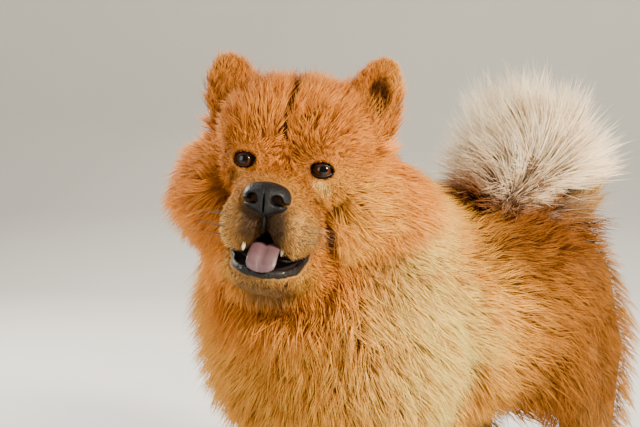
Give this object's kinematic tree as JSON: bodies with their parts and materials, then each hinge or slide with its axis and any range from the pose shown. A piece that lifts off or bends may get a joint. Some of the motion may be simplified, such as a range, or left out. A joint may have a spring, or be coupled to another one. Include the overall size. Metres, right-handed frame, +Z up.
{
  "type": "chow chow dog",
  "caption": "Life-size chow chow standing square with its head turned to the left, mouth open, mane full and tail plume over the back.",
  "frame": {"origin": "on the floor under the middle of the whole dog's bounding box", "axes": "+X from rump to chest, +Y to the dog's left, +Z up"},
  "size_m": [0.7052, 0.372, 0.6802],
  "materials": {
    "red_coat": "long, harsh, stand-off fur, orange-red to golden cream",
    "pale_coat": "long cream plume fur",
    "grey_coat": "short grizzled fur",
    "nose": "moist pebbled skin",
    "tongue": "moist blue-grey flesh",
    "eye": "wet dark brown eye",
    "tooth": "ivory enamel",
    "claw": "dark horn"
  },
  "bodies": {
    "root": {"nose": "nose", "tongue": "tongue", "eye_left": "eye", "eye_right": "eye", "canine_left": "tooth", "canine_right": "tooth", "muzzle": "grey_coat", "lower_jaw": "grey_coat", "head": "red_coat", "ear_left": "red_coat", "ear_right": "red_coat", "neck": "red_coat", "trunk": "red_coat", "tail": "pale_coat", "foreleg_left": "red_coat", "foreleg_right": "red_coat", "hindleg_left": "red_coat", "hindleg_right": "red_coat", "forepaw_left": "red_coat", "forepaw_right": "red_coat", "hindpaw_left": "red_coat", "hindpaw_right": "red_coat", "claw_fore_left_1": "claw", "claw_fore_left_2": "claw", "claw_fore_left_3": "claw", "claw_fore_left_4": "claw", "claw_fore_right_1": "claw", "claw_fore_right_2": "claw", "claw_fore_right_3": "claw", "claw_fore_right_4": "claw", "claw_hind_left_1": "claw", "claw_hind_left_2": "claw", "claw_hind_left_3": "claw", "claw_hind_left_4": "claw", "claw_hind_right_1": "claw", "claw_hind_right_2": "claw", "claw_hind_right_3": "claw", "claw_hind_right_4": "claw"}
  },
  "joints": []
}
